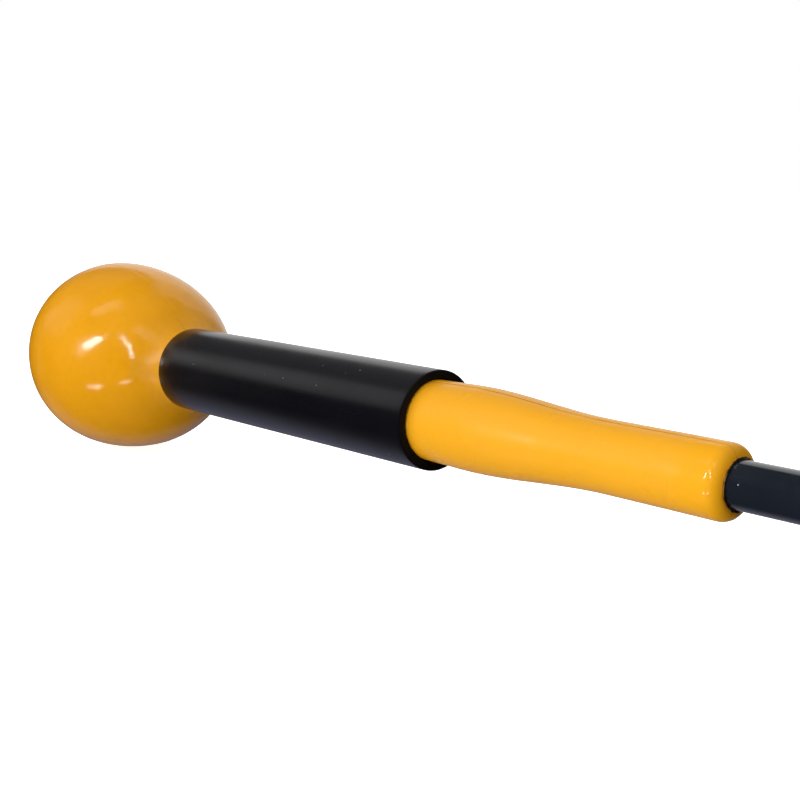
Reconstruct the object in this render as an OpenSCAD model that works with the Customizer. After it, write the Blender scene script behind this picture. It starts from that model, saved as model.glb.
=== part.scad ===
// Weighted swing trainer stick: a moulded ball and stem with a black neck sleeve,
// a flexible shaft and a golf grip, all on one centreline.
// The centreline runs along +X from the flat butt of the grip to the ball. +Z is up.

/* [Overall] */
// Length from the flat butt of the grip to the far side of the ball
total_len = 1016; // [900:1:1250]
// Radial gap between pieces that fit one in the other
fit_gap = 0.05; // [0.02:0.01:0.1]

/* [Ball] */
// Radius of the ball at its widest place
ball_r = 36.4; // [34:0.1:38]
// Length of the ball's far half, from its widest place to its tip
ball_front = 40; // [38:1:44]
// Length of the ball's long half, from its widest place towards the stem
ball_back = 54; // [48:1:56]
// Angle along the long half at which the ball turns into the neck
neck_angle = 52; // [45:1:56]
// Radius of the neck where it meets the sleeve
neck_r = 14.2; // [13:0.1:14.8]
// Distance from the ball's widest place to the end of the sleeve
neck_gap = 51.4; // [50:0.2:56]

/* [Stem] */
// Radius of the stem under the sleeve
sleeved_r = 11.95; // [11.5:0.05:12]
// Radius of the bulge just outside the sleeve
bulge_r = 12.25; // [12:0.05:12.3]
// Distance from the sleeve's mouth to the bulge
bulge_gap = 17; // [10:1:25]
// Distance from the sleeve's mouth to the start of the slim stretch
waist_gap = 66; // [50:1:80]
// Distance from the sleeve's mouth to the stem's end
stem_len = 103; // [90:1:130]
// Radius of the slim stretch
stem_r = 9.5; // [9:0.1:10.5]
// Radius of the stem's rounded end
end_round = 3.4; // [2:0.1:3.4]
// Height of the mould's parting line above the surface
seam_h = 0.15; // [0.1:0.05:0.3]
// Width of the mould's parting line
seam_w = 0.5; // [0.4:0.1:1]
// Turn of the plane of the parting line and of the cross pin, from upright towards +Y
seam_turn = 8; // [0:1:45]

/* [Neck sleeve] */
// Outer radius of the sleeve
sleeve_r = 15; // [14.9:0.1:16]
// Inner radius of the sleeve
sleeve_bore_r = 12.4; // [12.35:0.05:12.6]
// Length of the sleeve
sleeve_len = 133; // [100:1:150]
// Rounding of the sleeve's edges
sleeve_round = 0.5; // [0.2:0.1:0.8]

/* [Weight] */
// Radius of the iron ball weight
weight_r = 27; // [24:0.5:28]
// Radius of the ferrule on the shaft's tip
ferrule_r = 8.5; // [8:0.1:9]
// Length of the ferrule
ferrule_len = 60; // [55:1:65]
// Length of shaft held in the ferrule
ferrule_grip = 36; // [30:1:40]
// Radius of the bolt that holds the weight
bolt_r = 3; // [2.5:0.5:3.5]

/* [Shaft] */
// Radius of the flexible shaft
shaft_r = 6; // [5:0.25:6.5]
// Distance from the butt to the start of the shaft
shaft_start = 60; // [40:1:80]

/* [Grip] */
// Length of the grip with its cap
grip_len = 270; // [250:1:290]
// Radius of the grip at the butt
grip_butt_r = 13.4; // [13:0.1:14.5]
// Radius of the grip at its slim end
grip_tip_r = 9.6; // [9:0.1:10.5]
// Thickness of the butt cap's flange
cap_t = 4; // [3:0.5:6]
// Radius of the vent hole in the cap
vent_r = 1.5; // [1:0.1:2]
// Outer radius of the tube that builds the shaft up to the grip
tube_r = 7.6; // [7.4:0.05:7.8]
// Thickness of the tape between the tube and the grip
tape_t = 0.35; // [0.2:0.05:0.5]

/* [Hidden] */
$fn = 96;
ball_x = total_len - ball_front;
sleeve_ball_x = ball_x - neck_gap;
sleeve_mouth_x = sleeve_ball_x - sleeve_len;
bulge_x = sleeve_mouth_x - bulge_gap;
waist_x = sleeve_mouth_x - waist_gap;
stem_end_x = sleeve_mouth_x - stem_len;

ferrule_x = ball_x - ferrule_len + 8;
ferrule_end_x = ferrule_x + ferrule_len;
shaft_end_x = ferrule_x + ferrule_grip;
pin_r = 1.5;
pin_x = ferrule_x + 15;
washer_r = 8;
washer_t = 1.6;
bolt_head_r = 5;
bolt_head_h = 6;
socket_r = 2.9;
socket_depth = 3.5;
washer_x = ball_x + 16;
bolt_grip = 14;
counterbore_r = 9;

cap_spigot_len = 6;
tube_x = cap_t + cap_spigot_len + 2;
tube_end_x = grip_len - 9;
tape_r = tube_r + fit_gap + tape_t;
tape_margin = 3;
grip_bore_r = tape_r + fit_gap;
grip_mouth_len = 8;
slug_margin = 3;
glue_size = 0.9;
edge_round = 1.6;
lip_round = 1.2;

// Numbers from 0 to 1 in n equal steps
function steps(n) = [for (i = [0:n]) i / n];
// A smooth rise from 0 to 1
function ease(t) = (1 - cos(180 * t)) / 2;
// A cubic curve between a and d, leaving towards b and arriving from c
function cubic(a, b, c, d, t) =
    a * pow(1 - t, 3) + 3 * b * t * pow(1 - t, 2) + 3 * c * t * t * (1 - t) + d * pow(t, 3);
// A quarter circle of radius r about [cr, cx], from angle a to angle b
function arc(cr, cx, r, a, b, n) =
    [for (t = steps(n)) [cr + r * cos(a + (b - a) * t), cx + r * sin(a + (b - a) * t)]];

// Turns an outline of [radius, x] points about the centreline
module turned(points) {
    rotate([0, 90, 0]) rotate_extrude() polygon(points);
}

// A solid cylinder on the centreline from x0 to x1
module rod(r, x0, x1) {
    translate([x0, 0, 0]) rotate([0, 90, 0]) cylinder(r = r, h = x1 - x0);
}

// Where the neck leaves the ball, and the direction of the ball's surface there
neck_start = [ball_r * cos(neck_angle), ball_x - ball_back * sin(neck_angle)];
neck_pull = 0.25 * (neck_start[0] - neck_r);
neck_slope = ball_back * cos(neck_angle) / (ball_r * sin(neck_angle));

// Outer outline of the moulding, from the stem's end to the ball's far side
function moulding(grow) = [
    each arc(stem_r - end_round, stem_end_x + end_round, end_round + grow, -90, 0, 6),
    for (t = steps(16)) [grow + stem_r + (bulge_r - stem_r) * ease(t), waist_x + (bulge_x - waist_x) * t],
    for (t = steps(4)) [grow + bulge_r + (sleeved_r - bulge_r) * ease(t), bulge_x + bulge_gap * t],
    [grow + sleeved_r, sleeve_ball_x],
    for (t = steps(8)) [grow, 0] + cubic(
        [neck_r, sleeve_ball_x],
        [neck_r, sleeve_ball_x + neck_pull],
        neck_start + neck_pull * [-1, -neck_slope],
        neck_start, t),
    for (t = steps(10)) [
        (ball_r + grow) * cos(neck_angle * (1 - t)),
        ball_x - (ball_back + grow) * sin(neck_angle * (1 - t))],
    for (t = steps(16)) [(ball_r + grow) * cos(90 * t), ball_x + (ball_front + grow) * sin(90 * t)]
];

module head_solid() {
    turned(concat([[0, stem_end_x]], moulding(0)));
}

// A thin fin in the plane of the mould's joint, on both sides of the centreline
module parting_line() {
    side = concat([[0, stem_end_x]], moulding(seam_h));
    intersection() {
        for (flip = [0, 1])
            mirror([0, 0, flip]) rotate([90, 0, 0])
                linear_extrude(height = seam_w, center = true)
                    polygon([for (p = side) [p[1], p[0]]]);
        rod(2 * ball_r, stem_end_x, total_len);
    }
}

// A cylinder across the centreline, in the plane of the mould's joint
module cross_rod(r, length) {
    translate([pin_x, 0, 0]) rotate([-seam_turn, 0, 0]) cylinder(r = r, h = length, center = true);
}

module head_shell() {
    color("#f5a81c") difference() {
        rotate([-seam_turn, 0, 0]) {
            head_solid();
            parting_line();
        }
        translate([ball_x, 0, 0]) sphere(r = weight_r + fit_gap);
        rod(ferrule_r + fit_gap, ferrule_x, ball_x);
        rod(shaft_r + fit_gap, stem_end_x - 1, ferrule_x + 1);
    }
}

module neck_sleeve() {
    color("#16161a") turned([
        [sleeve_bore_r, sleeve_mouth_x],
        each arc(sleeve_r - sleeve_round, sleeve_mouth_x + sleeve_round, sleeve_round, -90, 0, 4),
        each arc(sleeve_r - sleeve_round, sleeve_ball_x - sleeve_round, sleeve_round, 0, 90, 4),
        [sleeve_bore_r, sleeve_ball_x]
    ]);
}

module ball_weight() {
    color("#5a5a5c") difference() {
        translate([ball_x, 0, 0]) sphere(r = weight_r);
        rod(ferrule_r + fit_gap, ball_x - weight_r - 1, ferrule_end_x + fit_gap);
        rod(bolt_r + 0.3, ball_x, ball_x + weight_r + 1);
        rod(counterbore_r, washer_x, ball_x + weight_r + 1);
    }
}

module tip_ferrule() {
    color("#a9adb0") difference() {
        rod(ferrule_r, ferrule_x, ferrule_end_x);
        rod(shaft_r + fit_gap, ferrule_x - 1, shaft_end_x + fit_gap);
        rod(bolt_r + fit_gap, ferrule_end_x - bolt_grip - 1, ferrule_end_x + 1);
        cross_rod(pin_r + fit_gap, 3 * ferrule_r);
    }
}

module ferrule_pin() {
    color("#8d9194") cross_rod(pin_r, 2 * (ferrule_r - 0.3));
}

module weight_washer() {
    color("#a9adb0") difference() {
        rod(washer_r, washer_x, washer_x + washer_t);
        rod(bolt_r + 0.2, washer_x - 1, washer_x + washer_t + 1);
    }
}

module weight_bolt() {
    head_x = washer_x + washer_t;
    color("#8d9194") difference() {
        union() {
            rod(bolt_r, ferrule_end_x - bolt_grip, head_x + 1);
            rod(bolt_head_r, head_x, head_x + bolt_head_h);
        }
        translate([head_x + bolt_head_h - socket_depth, 0, 0]) rotate([0, 90, 0])
            cylinder(r = socket_r, h = socket_depth + 1, $fn = 6);
    }
}

module glue_bead() {
    color("#cfc9b4") turned([
        [shaft_r + fit_gap, stem_end_x],
        each arc(shaft_r + fit_gap, stem_end_x, glue_size, -90, 0, 4)
    ]);
}

module flex_shaft() {
    color("#14171d") difference() {
        rod(shaft_r, shaft_start, shaft_end_x);
        cross_rod(pin_r + fit_gap, 3 * shaft_r);
    }
}

module butt_tube() {
    color("#3a3a3e") difference() {
        rod(tube_r, tube_x, tube_end_x);
        rod(shaft_r + fit_gap, tube_x - 1, tube_end_x + 1);
    }
}

module counterweight() {
    color("#8d9194") rod(shaft_r, tube_x + slug_margin, shaft_start - slug_margin);
}

module grip_tape() {
    color("#d8cfb8") difference() {
        rod(tape_r, tube_x + tape_margin, tube_end_x - tape_margin);
        rod(tube_r + fit_gap, tube_x, tube_end_x);
    }
}

module grip() {
    color("#202124") difference() {
        turned([
            [0, cap_t],
            [grip_butt_r, cap_t],
            [grip_tip_r, grip_len - lip_round],
            each arc(grip_tip_r - lip_round, grip_len - lip_round, lip_round, 0, 90, 4),
            [0, grip_len]
        ]);
        rod(grip_bore_r, cap_t - 1, grip_len - grip_mouth_len);
        rod(shaft_r + 2 * fit_gap, cap_t, grip_len + 1);
    }
}

module grip_cap() {
    color("#26272b") difference() {
        turned([
            [0, 0],
            each arc(grip_butt_r - edge_round, edge_round, edge_round, -90, 0, 6),
            [grip_butt_r, cap_t],
            [grip_bore_r - 0.1, cap_t],
            [grip_bore_r - 0.1, cap_t + cap_spigot_len],
            [0, cap_t + cap_spigot_len]
        ]);
        rod(vent_r, -1, cap_t + cap_spigot_len + 1);
    }
}

head_shell();
neck_sleeve();
ball_weight();
tip_ferrule();
ferrule_pin();
weight_washer();
weight_bolt();
glue_bead();
flex_shaft();
butt_tube();
counterweight();
grip_tape();
grip();
grip_cap();
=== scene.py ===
"""Looks of the swing trainer stick: vinyl ball and stem, neck sleeve, flexible shaft and rubber grip."""
import math

import bpy
import numpy as np
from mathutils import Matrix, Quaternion, Vector, noise


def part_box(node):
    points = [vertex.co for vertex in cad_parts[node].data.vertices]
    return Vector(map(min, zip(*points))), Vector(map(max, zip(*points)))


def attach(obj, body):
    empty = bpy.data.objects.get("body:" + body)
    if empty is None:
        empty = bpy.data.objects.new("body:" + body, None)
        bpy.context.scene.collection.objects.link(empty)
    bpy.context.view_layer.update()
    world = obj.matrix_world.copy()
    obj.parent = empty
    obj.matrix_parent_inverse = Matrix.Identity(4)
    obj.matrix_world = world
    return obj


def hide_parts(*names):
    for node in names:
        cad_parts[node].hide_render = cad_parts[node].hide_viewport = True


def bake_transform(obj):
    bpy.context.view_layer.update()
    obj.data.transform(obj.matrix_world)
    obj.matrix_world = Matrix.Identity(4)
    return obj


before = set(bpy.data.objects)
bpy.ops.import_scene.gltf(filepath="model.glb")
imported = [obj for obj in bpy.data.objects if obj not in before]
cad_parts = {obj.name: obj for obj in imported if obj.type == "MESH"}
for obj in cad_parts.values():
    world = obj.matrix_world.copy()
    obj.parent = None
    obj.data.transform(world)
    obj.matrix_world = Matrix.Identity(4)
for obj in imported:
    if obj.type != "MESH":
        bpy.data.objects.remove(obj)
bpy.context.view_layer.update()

MM = 0.001
TURN = 2 * math.pi

# ------------------------------------------------------------------ places, from the frame

head_low, head_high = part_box("head_shell")
sleeve_low, sleeve_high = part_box("neck_sleeve")
weight_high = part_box("ball_weight")[1]
ferrule_low, ferrule_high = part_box("tip_ferrule")
shaft_low, shaft_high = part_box("flex_shaft")
grip_low, grip_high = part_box("grip")
cap_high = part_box("grip_cap")[1]
tape_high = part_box("grip_tape")[1]

BALL_R = head_high.y
BALL_FRONT = 40 * MM
BALL_X = head_high.x - BALL_FRONT
WEIGHT_R = weight_high.z
FERRULE_R = ferrule_high.z
SHAFT_R = shaft_high.z
SLEEVE_R = sleeve_high.z
BUTT_R = cap_high.z
STEM_END_X = head_low.x
MOUTH_X = sleeve_low.x
NECK_X = sleeve_high.x
GRIP_END_X = grip_high.x
MIDDLE_X = (GRIP_END_X + STEM_END_X) / 2

# ------------------------------------------------------------------ sizes of the visible shapes

FIT_GAP = 0.05 * MM
BALL_BACK = 54 * MM
NECK_ANGLE = math.radians(52)
NECK_R = 14.2 * MM
NECK_PULL = 0.25
SLEEVED_R = 11.95 * MM
BULGE_R = 12.25 * MM
BULGE_X = MOUTH_X - 17 * MM
WAIST_X = MOUTH_X - 66 * MM
STEM_R = 9.5 * MM
WAIST_R = STEM_R + 0.07 * MM
END_ROUND = 3.4 * MM
SHAFT_LIP = 0.15 * MM
SEAM_H = 0.15 * MM
SEAM_TURN = math.radians(8)
SLEEVE_BORE_R = 12.4 * MM
SLEEVE_ROUND = 0.5 * MM
SLEEVE_BORE_EDGE = 0.3 * MM
SLEEVE_WAVE = 0.03 * MM
GRIP_TIP_R = 9.6 * MM


# ------------------------------------------------------------------ turned meshes

SAME_SPOT = 1e-7
ON_AXIS = 1e-9


def ease(t):
    return (1 - math.cos(math.pi * t)) / 2


def arc(cx, cr, radius, start, end, count):
    """Points (x, r) on an arc about (cx, cr), by angles in degrees from the +x direction towards +r."""
    angles = np.radians(np.linspace(start, end, count + 1))
    return [(cx + radius * math.cos(a), cr + radius * math.sin(a)) for a in angles]


def line(x0, r0, x1, r1, count):
    return [(x0 + (x1 - x0) * i / count, r0 + (r1 - r0) * i / count) for i in range(count + 1)]


def blend_line(x0, r0, x1, r1, count):
    """Points (x, r) that ease from radius r0 to radius r1."""
    return [(x0 + (x1 - x0) * i / count, r0 + (r1 - r0) * ease(i / count)) for i in range(count + 1)]


def without_repeats(outline):
    kept = []
    for x, r in outline:
        if not kept or math.hypot(x - kept[-1][0], r - kept[-1][1]) > SAME_SPOT:
            kept.append((x, r))
    if math.hypot(kept[0][0] - kept[-1][0], kept[0][1] - kept[-1][1]) < SAME_SPOT:
        kept.pop()
    return kept


def even_angles(count):
    ring = np.arange(count) * TURN / count
    return lambda r: ring


def turned(name, outline, angles_at, relief=None, crease=35):
    """A closed solid turned about the centreline. relief(point index, x, r, angles) gives how far each
    point of a ring stands out along the outline's normal."""
    outline = without_repeats(outline)
    xs, rs = np.array(outline).T
    dx, dr = np.roll(xs, -1) - np.roll(xs, 1), np.roll(rs, -1) - np.roll(rs, 1)
    length = np.hypot(dx, dr)
    nx, nr = -dr / length, dx / length
    if np.sum(xs * np.roll(rs, -1) - np.roll(xs, -1) * rs) > 0:
        nx, nr = -nx, -nr
    points, rings = [], []
    for i, (x, r) in enumerate(outline):
        first = len(points)
        if r < ON_AXIS:
            points.append((x, 0.0, 0.0))
            rings.append([first])
            continue
        angles = angles_at(r)
        out = relief(i, x, r, angles) if relief else np.zeros(len(angles))
        radius = r + nr[i] * out
        ring = np.stack([x + nx[i] * out, radius * np.cos(angles), radius * np.sin(angles)], axis=1)
        points.extend(map(tuple, ring))
        rings.append(list(range(first, first + len(angles))))
    faces = []
    for a, b in zip(rings, rings[1:] + rings[:1]):
        count = max(len(a), len(b))
        if count == 1:
            continue
        for j in range(count):
            k = (j + 1) % count
            corners = [a[j % len(a)], a[k % len(a)], b[k % len(b)], b[j % len(b)]]
            faces.append(list(dict.fromkeys(corners)))
    mesh = bpy.data.meshes.new(name)
    mesh.from_pydata(points, [], faces)
    if not outward(mesh):
        mesh.flip_normals()
    mesh.shade_smooth()
    mesh.set_sharp_from_angle(angle=math.radians(crease))
    piece = bpy.data.objects.new(name, mesh)
    bpy.context.scene.collection.objects.link(piece)
    return piece


def outward(mesh):
    """True if the faces of a closed mesh point out of it, by the sign of its volume."""
    mesh.calc_loop_triangles()
    corners = np.zeros(len(mesh.loop_triangles) * 3, np.int32)
    mesh.loop_triangles.foreach_get("vertices", corners)
    spots = np.zeros(len(mesh.vertices) * 3)
    mesh.vertices.foreach_get("co", spots)
    a, b, c = spots.reshape(-1, 3)[corners.reshape(-1, 3)].transpose(1, 0, 2)
    return np.einsum("ij,ij->i", a, np.cross(b, c)).sum() > 0


def finish_piece(piece, material, body, slot, *nodes):
    piece.data.materials.clear()
    piece.data.materials.append(material)
    if body:
        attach(piece, body)
    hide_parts(*nodes)


# ------------------------------------------------------------------ materials

def add(tree, kind, settings=(), **inputs):
    """A node with its settings, and its input sockets set or linked by name."""
    made = tree.nodes.new("ShaderNode" + kind)
    for key, value in dict(settings).items():
        setattr(made, key, value)
    for key, value in inputs.items():
        plug(tree, made, key.replace("_", " "), value)
    return made


def plug(tree, made, key, value):
    socket = made.inputs[int(key[1:])] if key[0] == "i" and key[1:].isdigit() else made.inputs[key]
    if isinstance(value, bpy.types.NodeSocket):
        tree.links.new(value, socket)
    else:
        socket.default_value = value


def new_material(name, **sockets):
    material = bpy.data.materials.new(name)
    material.use_nodes = True
    shader = material.node_tree.nodes["Principled BSDF"]
    for key, value in sockets.items():
        shader.inputs[key.replace("_", " ")].default_value = value
    return material, material.node_tree, shader


def place(tree, stretch=(1, 1, 1)):
    """Coordinates in metres in the row's frame, stretched along each axis."""
    at = add(tree, "TexCoord").outputs["Object"]
    if stretch == (1, 1, 1):
        return at
    return add(tree, "Mapping", Vector=at, Scale=stretch).outputs["Vector"]


def cloud(tree, at, scale, detail=2.0, rough=0.5):
    return add(tree, "TexNoise", Vector=at, Scale=scale, Detail=detail, Roughness=rough).outputs["Fac"]


def ramp(tree, value, low, high, to_low=0.0, to_high=1.0):
    made = add(tree, "MapRange", {"interpolation_type": "SMOOTHSTEP"}, Value=value)
    for key, number in zip(("From Min", "From Max", "To Min", "To Max"), (low, high, to_low, to_high)):
        made.inputs[key].default_value = number
    return made.outputs["Result"]


def tint(tree, factor, first, second):
    made = add(tree, "Mix", {"data_type": "RGBA"}, Factor=factor)
    plug(tree, made, "i6", first)
    plug(tree, made, "i7", second)
    return made.outputs[2]


def maths(tree, operation, a, b=0.0):
    return add(tree, "Math", {"operation": operation}, i0=a, i1=b).outputs["Value"]


def times(tree, a, b):
    return maths(tree, "MULTIPLY", a, b)


def plus(tree, a, b):
    return maths(tree, "ADD", a, b)


def dot(tree, a, b):
    return add(tree, "VectorMath", {"operation": "DOT_PRODUCT"}, i0=a, i1=b).outputs["Value"]


def x_of(tree, at):
    return add(tree, "SeparateXYZ", Vector=at).outputs["X"]


def bump(tree, height, distance, strength=1.0, normal=None):
    made = add(tree, "Bump", Height=height, Distance=distance, Strength=strength)
    if normal:
        plug(tree, made, "Normal", normal)
    return made.outputs["Normal"]


def specks(tree, at, scale, size, share):
    """1 on small round specks: one in `share` cells of a grid of `scale` cells a metre has one."""
    cells = add(tree, "TexVoronoi", {"feature": "F1"}, Vector=at, Scale=scale)
    chance = add(tree, "SeparateColor", Color=cells.outputs["Color"]).outputs["Red"]
    inside = ramp(tree, cells.outputs["Distance"], size * 0.6, size, 1, 0)
    return times(tree, inside, ramp(tree, chance, 1 - share, 1 - share + 0.01))


def linear(level):
    """A linear colour level from an sRGB one of 0 to 255."""
    return ((level / 255 + 0.055) / 1.055) ** 2.4 if level > 10 else level / 255 / 12.92


def rgb(red, green, blue):
    return (linear(red), linear(green), linear(blue), 1)


def vinyl():
    """Soft yellow-orange vinyl: duller on the stem and the neck, which are handled, glossy at both ends."""
    material, tree, shader = new_material(
        "soft_vinyl", Subsurface_Weight=0.03, Subsurface_Scale=0.003, IOR=1.45, Specular_IOR_Level=0.24)
    shader.inputs["Subsurface Radius"].default_value = (1.0, 0.45, 0.12)
    at = place(tree)
    along = x_of(tree, at)
    colour = tint(tree, ramp(tree, cloud(tree, at, 28), 0.35, 0.65), rgb(223, 152, 15), rgb(228, 157, 20))
    mottle = ramp(tree, cloud(tree, at, 420, 3), 0.35, 0.75, 0, 0.25)
    colour = tint(tree, mottle, colour, rgb(216, 142, 20))
    stem = ramp(tree, along, MOUTH_X, NECK_X, 0.6, 0)
    colour = tint(tree, stem, colour, rgb(227, 162, 30))
    grime = specks(tree, at, 130, 0.05, 0.02)
    colour = tint(tree, times(tree, grime, 0.35), colour, rgb(150, 92, 20))
    # Painted shade: a dark brown line in the crease beside the parting line.
    colour = tint(tree, times(tree, painted_seam_shade(tree, at), 0.6), colour, rgb(120, 66, 12))
    plug(tree, shader, "Base Color", colour)
    handled = times(tree, ramp(tree, along, NECK_X + 3 * MM, NECK_X + 7 * MM, 0.45, 0),
                    ramp(tree, along, STEM_END_X + 5 * MM, STEM_END_X + 15 * MM, 0.05, 0.35))
    skin = ramp(tree, cloud(tree, at, 60, 3), 0.3, 0.7, 0.1, 0.16)
    plug(tree, shader, "Roughness", plus(tree, skin, handled))
    marks = specks(tree, at, 110, 0.16, 0.05)
    marked = bump(tree, marks, 0.00006, 0.8)
    ripple = bump(tree, cloud(tree, at, 130, 2), 0.0004, 0.5, marked)
    plug(tree, shader, "Normal", bump(tree, cloud(tree, at, 1600, 2), 0.00003, 0.6, ripple))
    return material


def painted_seam_shade(tree, at):
    """1 in the painted shade of the fine crease beside the parting line, which fades and breaks up on the
    ball.
    """
    across = dot(tree, at, (0, math.cos(SEAM_TURN), -math.sin(SEAM_TURN)))
    # Painted shade where the ditch runs beside the raised parting line.
    shade_beside_ridge = times(tree, ramp(tree, across, SEAM_FLAT, SEAM_FOOT),
                 ramp(tree, across, SEAM_FOOT, 2 * SEAM_FOOT, 1, 0))
    patchy = ramp(tree, cloud(tree, at, 60), 0.3, 0.6, 0.5, 1)
    on_stem = ramp(tree, x_of(tree, at), NECK_X, NECK_X + 5 * MM, 1, 0.25)
    return times(tree, times(tree, shade_beside_ridge, patchy), on_stem)


def sleeve_plastic():
    material, tree, shader = new_material("black_sleeve_plastic", IOR=1.5)
    at = place(tree)
    drawn = place(tree, (0.03, 1, 1))
    streak = cloud(tree, drawn, 900, 3)
    colour = tint(tree, streak, rgb(7, 7, 11), rgb(12, 12, 18))
    dust = specks(tree, at, 400, 0.12, 0.07)
    colour = tint(tree, times(tree, dust, 0.7), colour, rgb(130, 128, 132))
    plug(tree, shader, "Base Color", colour)
    plug(tree, shader, "Roughness", ramp(tree, cloud(tree, at, 45, 4), 0.3, 0.7, 0.19, 0.27))
    plug(tree, shader, "Normal", bump(tree, streak, 0.00002, 0.6))
    return material


def cut_plastic():
    """The sleeve's sawn ends and bore: the same plastic, rough and dark."""
    material, tree, shader = new_material("cut_sleeve_end", IOR=1.4, Specular_IOR_Level=0.2)
    at = place(tree)
    marks = cloud(tree, at, 1500, 3)
    plug(tree, shader, "Base Color", tint(tree, marks, rgb(9, 9, 11), rgb(15, 15, 17)))
    plug(tree, shader, "Roughness", ramp(tree, marks, 0.3, 0.7, 0.6, 0.75))
    plug(tree, shader, "Normal", bump(tree, marks, 0.00004, 0.6))
    return material


def shaft_coat():
    """Blue-black gloss coat, with dust specks and a smear of glue where it enters the stem."""
    material, tree, shader = new_material(
        "glossy_shaft_coat", IOR=1.5, Coat_Weight=0.5, Coat_Roughness=0.05)
    at = place(tree)
    colour = tint(tree, cloud(tree, at, 60), rgb(21, 26, 34), rgb(26, 31, 40))
    dust = specks(tree, at, 400, 0.1, 0.12)
    colour = tint(tree, times(tree, dust, 0.6), colour, rgb(190, 190, 195))
    near = ramp(tree, x_of(tree, at), STEM_END_X - 5 * MM, STEM_END_X - 0.5 * MM)
    smear = times(tree, near, ramp(tree, cloud(tree, at, 700, 4), 0.6, 0.72))
    colour = tint(tree, times(tree, smear, 0.15), colour, rgb(165, 165, 172))
    plug(tree, shader, "Base Color", colour)
    gloss = ramp(tree, cloud(tree, at, 150, 3), 0.3, 0.7, 0.12, 0.2)
    plug(tree, shader, "Roughness", plus(tree, gloss, times(tree, smear, 0.3)))
    drawn = place(tree, (0.08, 1, 1))
    plug(tree, shader, "Normal", bump(tree, cloud(tree, drawn, 500, 2), 0.00001, 0.4))
    return material


def dried_glue():
    material, tree, shader = new_material(
        "dried_glue", Roughness=0.35, Subsurface_Weight=0.2, Subsurface_Scale=0.001)
    at = place(tree)
    colour = tint(tree, ramp(tree, cloud(tree, at, 900, 3), 0.4, 0.6), rgb(52, 36, 16), rgb(190, 156, 92))
    plug(tree, shader, "Base Color", colour)
    plug(tree, shader, "Normal", bump(tree, cloud(tree, at, 2500, 3), 0.0001))
    return material


def rubber(name, dark, light, grain):
    material, tree, shader = new_material(name, IOR=1.5, Sheen_Weight=0.05, Sheen_Roughness=0.5)
    at = place(tree)
    colour = tint(tree, cloud(tree, at, 120, 4), dark, light)
    dust = specks(tree, at, 260, 0.06, 0.04)
    colour = tint(tree, times(tree, dust, 0.3), colour, rgb(110, 110, 112))
    plug(tree, shader, "Base Color", colour)
    plug(tree, shader, "Roughness", ramp(tree, cloud(tree, at, 400, 3), 0.3, 0.7, 0.62, 0.8))
    plug(tree, shader, "Normal", bump(tree, cloud(tree, at, grain, 2), 0.00006, 0.8))
    return material


def grained(name, dark, light, roughness, spread, grain, stretch, height, **sockets):
    """A plain material whose one grain, stretched along each axis, marks its colour, gloss and surface."""
    material, tree, shader = new_material(name, **sockets)
    marks = cloud(tree, place(tree, stretch), grain, 4)
    plug(tree, shader, "Base Color", tint(tree, marks, dark, light))
    plug(tree, shader, "Roughness", ramp(tree, marks, 0.3, 0.7, roughness, roughness + spread))
    plug(tree, shader, "Normal", bump(tree, marks, height, 0.7))
    return material


# ------------------------------------------------------------------ ball and stem

SEAM_STEPS = np.array([0, 0.08, 0.15, 0.2, 0.25, 0.3, 0.36, 0.43, 0.52, 0.65, 0.9, 1.4]) * MM
SEAM_FLAT = 0.16 * MM
SEAM_FOOT = 0.3 * MM
SEAM_DITCH = 0.06 * MM
SEAM_SHRINK_R = 6 * MM
SEAM_ON_BALL = 0.3
FILL_STEPS = 66


def seam_angles(r):
    """Angles round a ring, close together at the parting line at the top and the bottom."""
    near = SEAM_STEPS / max(r, SEAM_SHRINK_R)
    side = np.concatenate([-near[:0:-1], near])
    gap = np.linspace(near[-1], math.pi - near[-1], FILL_STEPS + 2)[1:-1]
    half = np.concatenate([side, gap])
    return np.concatenate([half, half + math.pi]) + math.pi / 2 - SEAM_TURN


def bezier(a, b, c, d, count):
    spots = []
    for t in np.linspace(0, 1, count + 1):
        k = ((1 - t) ** 3, 3 * t * (1 - t) ** 2, 3 * t * t * (1 - t), t ** 3)
        spots.append(tuple(sum(w * p[i] for w, p in zip(k, (a, b, c, d))) for i in (0, 1)))
    return spots


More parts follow.
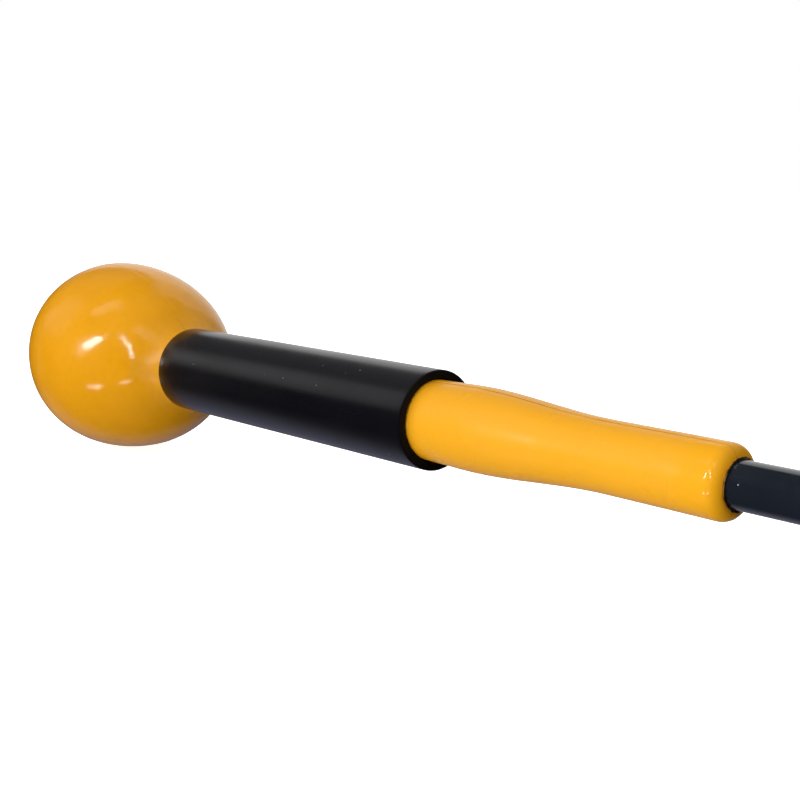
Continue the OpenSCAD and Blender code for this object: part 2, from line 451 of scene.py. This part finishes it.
def head_outline():
    """The moulding's outline: outside from the stem's end to the ball's far side, then back inside."""
    neck_x = BALL_X - BALL_BACK * math.sin(NECK_ANGLE)
    neck_r = BALL_R * math.cos(NECK_ANGLE)
    pull = NECK_PULL * (neck_r - NECK_R)
    slope = BALL_BACK * math.cos(NECK_ANGLE) / (BALL_R * math.sin(NECK_ANGLE))
    outside = arc(STEM_END_X + END_ROUND, STEM_R - END_ROUND, END_ROUND, 180, 90, 20)
    outside += blend_line(STEM_END_X + END_ROUND, STEM_R, WAIST_X, WAIST_R, 16)
    outside += blend_line(WAIST_X, WAIST_R, BULGE_X, BULGE_R, 50)
    outside += blend_line(BULGE_X, BULGE_R, MOUTH_X, SLEEVED_R, 16)
    outside += line(MOUTH_X, SLEEVED_R, NECK_X, SLEEVED_R, 12)
    outside += bezier((NECK_X, NECK_R), (NECK_X + pull, NECK_R),
                      (neck_x - pull * slope, neck_r - pull), (neck_x, neck_r), 24)
    for t in np.linspace(NECK_ANGLE, 0, 50):
        outside.append((BALL_X - BALL_BACK * math.sin(t), BALL_R * math.cos(t)))
    for t in np.linspace(0, math.pi / 2, 81):
        outside.append((BALL_X + BALL_FRONT * math.sin(t), BALL_R * math.cos(t)))
    outside[-1] = (BALL_X + BALL_FRONT, 0.0)
    seat = math.degrees(math.asin((FERRULE_R + FIT_GAP) / (WEIGHT_R + FIT_GAP)))
    inside = arc(BALL_X, 0, WEIGHT_R + FIT_GAP, 0, 180 - seat, 48)
    inside[0] = (BALL_X + WEIGHT_R + FIT_GAP, 0.0)
    inside += line(inside[-1][0], FERRULE_R + FIT_GAP, ferrule_low.x, FERRULE_R + FIT_GAP, 4)
    bore_r = SHAFT_R + FIT_GAP
    inside += line(ferrule_low.x, bore_r, STEM_END_X + SHAFT_LIP, bore_r, 24)
    inside += arc(STEM_END_X + SHAFT_LIP, bore_r + SHAFT_LIP, SHAFT_LIP, 270, 180, 3)
    return outside, inside


def seam_height(sideways):
    """Height of the raised parting line, with a fine ditch on either side, by distance from its plane."""
    rise = np.clip((SEAM_FOOT - sideways) / (SEAM_FOOT - SEAM_FLAT), 0, 1)
    ditch = np.exp(-((sideways - 1.35 * SEAM_FOOT) / (0.35 * SEAM_FOOT)) ** 2)
    return (SEAM_H - 0.02 * MM) * rise * rise * (3 - 2 * rise) - SEAM_DITCH * ditch


WAVE_DEPTH = 0.22 * MM
WAVE_SCALE = 38
DENT_DEPTH = 0.07 * MM
DENT_SCALE = 95


def unevenness(spot):
    """How far the soft vinyl stands out at a place. On the ball it never passes the true size."""
    wave = noise.noise(spot * WAVE_SCALE) * WAVE_DEPTH + noise.noise(spot * DENT_SCALE) * DENT_DEPTH
    on_ball = min(1.0, max(0.0, (spot.x - NECK_X) / (20 * MM)))
    return (wave - (WAVE_DEPTH + DENT_DEPTH) * on_ball) / 2


def build_head():
    outside, inside = head_outline()
    outer_count = len(without_repeats(outside))

    def relief(i, x, r, angles):
        if i >= outer_count:
            return np.zeros(len(angles))
        strength = SEAM_ON_BALL if x > NECK_X else 1.0
        height = strength * seam_height(r * np.abs(np.cos(angles + SEAM_TURN)))
        fade = min(1.0, max(0.0, (x - STEM_END_X) / (4 * MM)))
        spots = [Vector((x, r * math.cos(a), r * math.sin(a))) for a in angles]
        return (height + np.array([unevenness(p) for p in spots])) * fade

    piece = turned("ball_and_stem", outside + inside, seam_angles, relief)
    for point in piece.data.vertices:
        point.co.x = min(point.co.x, head_high.x)
    finish_piece(piece, vinyl(), "head", "vinyl", "head_shell")


# ------------------------------------------------------------------ neck sleeve

def build_sleeve():
    """A plain tube, rounded outside, with a slight waviness that bends its reflections."""
    edge = SLEEVE_BORE_EDGE
    outline = line(MOUTH_X + edge, SLEEVE_BORE_R, MOUTH_X, SLEEVE_BORE_R + edge, 2)
    outline += line(MOUTH_X, SLEEVE_BORE_R + edge, MOUTH_X, SLEEVE_R - SLEEVE_ROUND, 3)
    outline += arc(MOUTH_X + SLEEVE_ROUND, SLEEVE_R - SLEEVE_ROUND, SLEEVE_ROUND, 180, 90, 8)
    outline += line(MOUTH_X + SLEEVE_ROUND, SLEEVE_R, NECK_X - SLEEVE_ROUND, SLEEVE_R, 60)
    outline += arc(NECK_X - SLEEVE_ROUND, SLEEVE_R - SLEEVE_ROUND, SLEEVE_ROUND, 90, 0, 8)
    outline += line(NECK_X, SLEEVE_R - SLEEVE_ROUND, NECK_X, SLEEVE_BORE_R, 3)
    outline += line(NECK_X, SLEEVE_BORE_R, MOUTH_X + edge, SLEEVE_BORE_R, 20)

    def relief(i, x, r, angles):
        if r < SLEEVE_R - 0.01 * MM:
            return np.zeros(len(angles))
        waves = [noise.noise(Vector((x * 20, math.cos(a), math.sin(a)))) - 1 for a in angles]
        return np.array(waves) * SLEEVE_WAVE

    piece = turned("neck_sleeve_tube", outline, even_angles(160), relief)
    finish_piece(piece, sleeve_plastic(), "head", "sleeve_plastic", "neck_sleeve")
    piece.data.materials.append(cut_plastic())
    for face in piece.data.polygons:
        if math.hypot(face.center.y, face.center.z) < SLEEVE_R - 0.6 * SLEEVE_ROUND:
            face.material_index = 1


# ------------------------------------------------------------------ flexible shaft


def shaft_half(name, x0, x1, dense0, dense1):
    edge = 0.4 * MM
    outline = [(x0, 0.0)]
    outline += line(x0, SHAFT_R - edge, x0 + edge, SHAFT_R, 1) if x0 != MIDDLE_X else [(x0, SHAFT_R)]
    outline += line(max(x0 + edge, dense0), SHAFT_R, min(x1 - edge, dense1), SHAFT_R, 60)
    outline += line(x1 - edge, SHAFT_R, x1, SHAFT_R - edge, 1) if x1 != MIDDLE_X else [(x1, SHAFT_R)]
    outline += [(x1, 0.0)]
    return turned(name, outline, even_angles(72))


def build_shaft():
    """Two halves of the shaft, which meet at the middle of its bare length."""
    coat = shaft_coat()
    butt = shaft_half("shaft_butt_half", shaft_low.x, MIDDLE_X, GRIP_END_X - 10 * MM, MIDDLE_X)
    tip = shaft_half("shaft_tip_half", MIDDLE_X, shaft_high.x, MIDDLE_X, STEM_END_X + 10 * MM)
    for piece in (butt, tip):
        finish_piece(piece, coat, None, "shaft_fibreglass", "flex_shaft")
    for piece, before, after, hinge_x in ((butt, "handle", "shaft", (GRIP_END_X + MIDDLE_X) / 2),
                                          (tip, "shaft", "head", (MIDDLE_X + STEM_END_X) / 2)):
        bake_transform(piece)


# ------------------------------------------------------------------ glue at the shaft's exit

GLUE_SIZE = 0.75 * MM
GLUE_THIN = 0.12
GLUE_LUMP = 0.7


def build_glue():
    """A thin ring of glue round the shaft, with a few lumps."""
    centre_r = SHAFT_R + FIT_GAP
    outline = [(STEM_END_X, centre_r)]
    outline += arc(STEM_END_X, centre_r, GLUE_SIZE, 180, 90, 6)

    def relief(i, x, r, angles):
        if i == 0:
            return np.zeros(len(angles))
        lumps = np.array([noise.noise(Vector((math.cos(a) * 2.6, math.sin(a) * 2.6, 4.2))) for a in angles])
        size = GLUE_THIN + GLUE_LUMP * np.clip(lumps * 4 - 1, 0, 1)
        return (size - 1) * GLUE_SIZE

    piece = turned("glue_ring", outline, even_angles(180), relief)
    finish_piece(piece, dried_glue(), "head", "glue", "glue_bead")


# ------------------------------------------------------------------ grip and butt cap

GROOVE_DEPTH = 0.55 * MM
GROOVE_ROWS = 24
GROOVE_PITCH = 7.2 * MM
RING_XS = (16 * MM, 19 * MM, 258 * MM)
RING_WIDTH = 0.55 * MM
DASH_WIDTH = 0.62
DASH_LENGTH = 0.42
DASH_SLOPE = 0.2
DASH_SLANT = 0.35
DASH_MARGIN = 5 * MM
DASH_FADE = 3 * MM
GRIP_MOUTH = 8 * MM
GRIP_STEPS = 620
GRIP_LIP = 1.2 * MM


def grip_radius(x):
    t = (x - grip_low.x) / (GRIP_END_X - grip_low.x)
    return BUTT_R + (GRIP_TIP_R - BUTT_R) * t


def groove_depth(x, angles):
    """Depth of the grip's moulded pattern: staggered slanted dashes, and plain rings near the ends."""
    rings = sum(math.exp(-((x - ring_x) / RING_WIDTH) ** 2) for ring_x in RING_XS)
    depth = np.full(len(angles), min(rings, 1.0) * GROOVE_DEPTH)
    first, last = RING_XS[1] + DASH_MARGIN, RING_XS[2] - DASH_MARGIN
    if first < x < last:
        column = angles * GROOVE_ROWS / TURN
        row = (x - first) / GROOVE_PITCH + 0.5 * (np.floor(column) % 2) + DASH_SLANT * (column % 1 - 0.5)
        across = np.abs(column % 1 - 0.5) * 2
        along = np.abs(row % 1 - 0.5) * 2
        inside = np.clip((DASH_WIDTH - across) / DASH_SLOPE, 0, 1)
        inside = inside * np.clip((DASH_LENGTH - along) / DASH_SLOPE, 0, 1)
        edge = min(1.0, (x - first) / DASH_FADE, (last - x) / DASH_FADE)
        depth = np.maximum(depth, inside * GROOVE_DEPTH * edge)
    return depth


def build_grip():
    """The rubber grip: it widens towards the butt, and its mouth closes on the shaft."""
    bore_r = tape_high.z + FIT_GAP
    lip_x = GRIP_END_X - GRIP_LIP
    outline = [(grip_low.x, bore_r)]
    outline += line(grip_low.x, BUTT_R, lip_x, grip_radius(lip_x), GRIP_STEPS)
    outline += arc(lip_x, grip_radius(lip_x) - GRIP_LIP, GRIP_LIP, 90, 0, 6)
    mouth_x = GRIP_END_X - GRIP_MOUTH
    outline += line(GRIP_END_X, SHAFT_R + 4 * FIT_GAP, mouth_x, SHAFT_R + 2 * FIT_GAP, 3)
    outline += line(mouth_x, bore_r, grip_low.x, bore_r, 20)

    def relief(i, x, r, angles):
        if 1 <= i <= GRIP_STEPS + 1:
            return -groove_depth(x, angles)
        return np.zeros(len(angles))

    piece = turned("grip_sleeve", outline, even_angles(264), relief, crease=60)
    finish_piece(piece, rubber("grip_rubber", rgb(24, 24, 26), rgb(34, 34, 37), 1400),
                 "handle", "grip_rubber", "grip")


VENT_R = 1.5 * MM
VENT_EDGE = 0.4 * MM
CAP_GROOVE_R = 7.1 * MM
CAP_GROOVE_ROUND = 0.5 * MM
CAP_ROUND = 1.6 * MM
CAP_EDGE = 0.25 * MM


def build_cap():
    """The butt cap, with a round groove in its flat end, a vent hole and a spigot inside the grip."""
    flange_x = grip_low.x
    spigot_r = tape_high.z + FIT_GAP - 0.1 * MM
    groove_in, groove_out = CAP_GROOVE_R - CAP_GROOVE_ROUND, CAP_GROOVE_R + CAP_GROOVE_ROUND
    outline = [(cap_high.x, VENT_R), (VENT_EDGE, VENT_R), (0.0, VENT_R + VENT_EDGE)]
    outline += line(0.0, VENT_R + VENT_EDGE, 0.0, groove_in, 3)
    outline += arc(0.0, CAP_GROOVE_R, CAP_GROOVE_ROUND, -90, 90, 8)
    outline += line(0.0, groove_out, 0.0, BUTT_R - CAP_ROUND, 3)
    outline += arc(CAP_ROUND, BUTT_R - CAP_ROUND, CAP_ROUND, 180, 90, 10)
    outline += line(CAP_ROUND, BUTT_R, flange_x - CAP_EDGE, BUTT_R, 3)
    outline += [(flange_x, BUTT_R - CAP_EDGE), (flange_x, spigot_r), (cap_high.x, spigot_r)]
    piece = turned("butt_cap", outline, even_angles(144))
    finish_piece(piece, rubber("cap_rubber", rgb(28, 28, 30), rgb(38, 38, 41), 2200),
                 "handle", "cap_rubber", "grip_cap")


# ------------------------------------------------------------------ hidden pieces kept from CAD

def dress_cad_nodes():
    iron = grained("cast_iron", rgb(62, 62, 64), rgb(96, 95, 94), 0.5, 0.12, 900, (1, 1, 1), 0.0001,
                   Metallic=1.0)
    steel = grained("turned_steel", rgb(150, 152, 156), rgb(186, 188, 190), 0.22, 0.12, 2500,
                    (1, 0.05, 0.05), 0.00002, Metallic=1.0)
    tube = grained("tube_plastic", rgb(44, 44, 47), rgb(58, 58, 61), 0.45, 0.15, 800,
                   (0.03, 1, 1), 0.00003)
    tape = grained("paper_tape", rgb(196, 184, 152), rgb(218, 208, 180), 0.75, 0.15, 1500,
                   (0.2, 1, 1), 0.00005)
    looks = {"ball_weight": iron, "tip_ferrule": steel, "ferrule_pin": steel, "weight_washer": steel,
             "weight_bolt": steel, "counterweight": steel, "butt_tube": tube, "grip_tape": tape}
    for node, material in looks.items():
        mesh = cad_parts[node].data
        mesh.materials.clear()
        mesh.materials.append(material)


# ------------------------------------------------------------------ stage, light and camera

CAMERA_FROM_SLEEVE = Vector((-0.4023, 0.2478, 0.0708))
CAMERA_AZIMUTH = 229.1
CAMERA_ELEVATION = 10.03
CAMERA_LENS = 57.5
FLOOR_SIZE = 40
FLOOR_GLOW = 0.9

# The soft lights: name, azimuth, elevation, strength, spread
FILLS = (
    ("fill_left", 150, 20, 0.45, 60),
    ("fill_right", 250, 40, 0.31, 60),
    ("fill_back", 45, 10, 0.32, 90),
    ("fill_above", 120, 80, 0.33, 110),
    ("fill_below", 165, -45, 0.43, 90),
)
NEAR_FILL_SIZE = 0.2
NEAR_FILL_POWER = 0.45
NEAR_FILL_FROM_STEM = Vector((-0.08, 0.38, -0.04))

# The glints on the vinyl: name, azimuth, elevation, width, height, roll, radiance
GLINTS = (
    ("glint_left", 163, 20, 18, 3, 60, 85),
    ("glint_right", 202, 25, 36, 1.6, -54, 95),
    ("glint_left_low", 163, -26, 9, 2.2, 0, 38),
    ("glint_right_low", 199, -23, 21, 2, 17, 22),
    ("glint_left_tail", 163, 20, 34, 1.6, 60, 15),
    ("sheen_left", 140, 55, 22, 9, 105, 2.6),
    ("sheen_right", 218, 50, 24, 12, -25, 2.4),
    ("sheen_far_right", 348, 40, 46, 34, 0, 0.5),
)
GLINT_DISTANCE = 4


def direction(azimuth, elevation):
    """From the object towards a place at that azimuth (0 is the -Y side) and height, in degrees."""
    a, e = math.radians(azimuth), math.radians(elevation)
    return Vector((math.sin(a) * math.cos(e), -math.cos(a) * math.cos(e), math.sin(e)))


def build_camera():
    data = bpy.data.cameras.new("camera")
    data.sensor_width = 36
    data.lens = CAMERA_LENS
    data.clip_start = 0.01
    camera = bpy.data.objects.new("camera", data)
    camera.location = Vector((NECK_X, 0, 0)) + CAMERA_FROM_SLEEVE
    camera.rotation_mode = "QUATERNION"
    back = direction(CAMERA_AZIMUTH, CAMERA_ELEVATION)
    camera.rotation_quaternion = (-back).to_track_quat("-Z", "Y")
    bpy.context.scene.collection.objects.link(camera)
    bpy.context.scene.camera = camera


def build_floor():
    """A pale floor that touches the ball and the butt. Only the camera sees it, and it throws no
    light back."""
    tilt = math.asin((BALL_R - BUTT_R) / BALL_X)
    mesh = bpy.data.meshes.new("floor")
    half = FLOOR_SIZE / 2
    corners = [(-half, -half, 0), (half, -half, 0), (half, half, 0), (-half, half, 0)]
    mesh.from_pydata(corners, [], [(0, 1, 2, 3)])
    floor = bpy.data.objects.new("floor", mesh)
    bpy.context.scene.collection.objects.link(floor)
    floor.rotation_euler = (0, tilt, 0)
    floor.location = Vector((BALL_X, 0, 0)) - BALL_R * Vector((math.sin(tilt), 0, math.cos(tilt)))
    floor.visible_diffuse = floor.visible_glossy = floor.visible_shadow = False
    material, tree, shader = new_material("floor_paper", Roughness=0.8, Emission_Strength=FLOOR_GLOW)
    shader.inputs["Emission Color"].default_value = (1, 1, 1, 1)
    marks = cloud(tree, place(tree), 3, 3)
    plug(tree, shader, "Base Color", tint(tree, marks, rgb(240, 240, 241), rgb(244, 244, 244)))
    mesh.materials.append(material)


def lamp_object(name, data, towards):
    lamp = bpy.data.objects.new(name, data)
    lamp.rotation_mode = "QUATERNION"
    lamp.rotation_quaternion = towards.to_track_quat("Z", "Y")
    bpy.context.scene.collection.objects.link(lamp)
    return lamp


def fill(name, azimuth, elevation, strength, spread):
    """Soft light that reaches every surface and leaves no glint. At strength 1 it would make a white
    face that it meets square on come out white."""
    data = bpy.data.lights.new(name, "SUN")
    data.energy = strength * math.pi
    data.angle = math.radians(spread)
    lamp_object(name, data, direction(azimuth, elevation)).visible_glossy = False


def near_fill():
    """Soft light close to the stem, on the camera's side, which leaves no glint."""
    data = bpy.data.lights.new("fill_near", "AREA")
    data.size = NEAR_FILL_SIZE
    data.energy = NEAR_FILL_POWER
    lamp = lamp_object("fill_near", data, NEAR_FILL_FROM_STEM.normalized())
    lamp.location = Vector(((STEM_END_X + MOUTH_X) / 2, 0, 0)) + NEAR_FILL_FROM_STEM
    lamp.visible_glossy = lamp.visible_camera = False


def glint_box(receivers, name, azimuth, elevation, width, height, roll, radiance):
    """A box of light far from the ball, which leaves a glint and lights nothing. Its width and
    height are in degrees, as seen from the ball."""
    data = bpy.data.lights.new(name, "AREA")
    data.shape = "RECTANGLE"
    data.size = 2 * GLINT_DISTANCE * math.tan(math.radians(width / 2))
    data.size_y = 2 * GLINT_DISTANCE * math.tan(math.radians(height / 2))
    data.energy = math.pi * data.size * data.size_y * radiance
    towards = direction(azimuth, elevation)
    lamp = lamp_object(name, data, towards)
    lamp.location = Vector((BALL_X, 0, 0)) + towards * GLINT_DISTANCE
    lamp.rotation_quaternion @= Quaternion((0, 0, 1), math.radians(roll))
    lamp.visible_diffuse = lamp.visible_camera = False
    lamp.light_linking.receiver_collection = receivers


def build_lights():
    for row in FILLS:
        fill(*row)
    near_fill()
    vinyl_only = bpy.data.collections.new("vinyl_only")
    vinyl_only.objects.link(bpy.data.objects["ball_and_stem"])
    for row in GLINTS:
        glint_box(vinyl_only, *row)


# The panel's azimuth and elevation. The sleeve shows it as a soft band.
PANEL = (123.7, 26.6)
# How far along X the directions lean that the shaft mirrors: the ceiling is left dark there.
SHAFT_MIRRORS = 0.42
ROOM_GLOW = 0.02


def build_world():
    """White to the camera. To the object: a bright backdrop behind it, a pale panel at its far left,
    a dim ceiling, a dim table behind and below it, and near dark elsewhere."""
    world = bpy.data.worlds.new("studio")
    world.use_nodes = True
    bpy.context.scene.world = world
    tree = world.node_tree
    tree.nodes.clear()
    towards = add(tree, "TexCoord").outputs["Generated"]
    height = dot(tree, towards, (0, 0, 1))
    along = dot(tree, towards, (1, 0, 0))
    behind = ramp(tree, dot(tree, towards, -direction(CAMERA_AZIMUTH, 0)), 0.3, 0.6)
    under_edge = ramp(tree, dot(tree, towards, (1, 0, 1)), 1.20, 1.28, 1, 0)
    above_floor = ramp(tree, height, -0.3, -0.15)
    beside = times(tree, ramp(tree, along, 0.1, 0.3), ramp(tree, along, 0.86, 0.97, 1, 0))
    backdrop = times(tree, times(tree, behind, under_edge), times(tree, above_floor, beside))
    panel = times(tree, ramp(tree, dot(tree, towards, direction(*PANEL)), 0.94, 0.99),
                  ramp(tree, along, 0.56, 0.68))
    from_shaft = maths(tree, "ABSOLUTE", maths(tree, "SUBTRACT", along, SHAFT_MIRRORS))
    ceiling = times(tree, ramp(tree, height, 0.2, 0.8), ramp(tree, from_shaft, 0.08, 0.18))
    table = times(tree, behind, ramp(tree, height, -0.5, -0.2, 1, 0))
    total = ROOM_GLOW
    for part, radiance in ((backdrop, 0.85), (panel, 0.5), (ceiling, 0.2), (table, 0.26)):
        total = plus(tree, times(tree, part, radiance), total)
    room = add(tree, "Background", Color=tint(tree, table, (1, 1, 1, 1), (0.8, 0.8, 1.1, 1)), Strength=total)
    white = add(tree, "Background", Color=(1, 1, 1, 1), Strength=1.0)
    seen = add(tree, "LightPath").outputs["Is Camera Ray"]
    mixed = add(tree, "MixShader", Fac=seen, i1=room.outputs[0], i2=white.outputs[0])
    out = add(tree, "OutputWorld")
    tree.links.new(mixed.outputs[0], out.inputs["Surface"])


build_camera()
build_head()
build_sleeve()
build_shaft()
build_glue()
build_grip()
build_cap()
dress_cad_nodes()
build_floor()
build_lights()
build_world()
bpy.context.scene.view_settings.view_transform = "Standard"
bpy.context.scene.view_settings.look = "None"
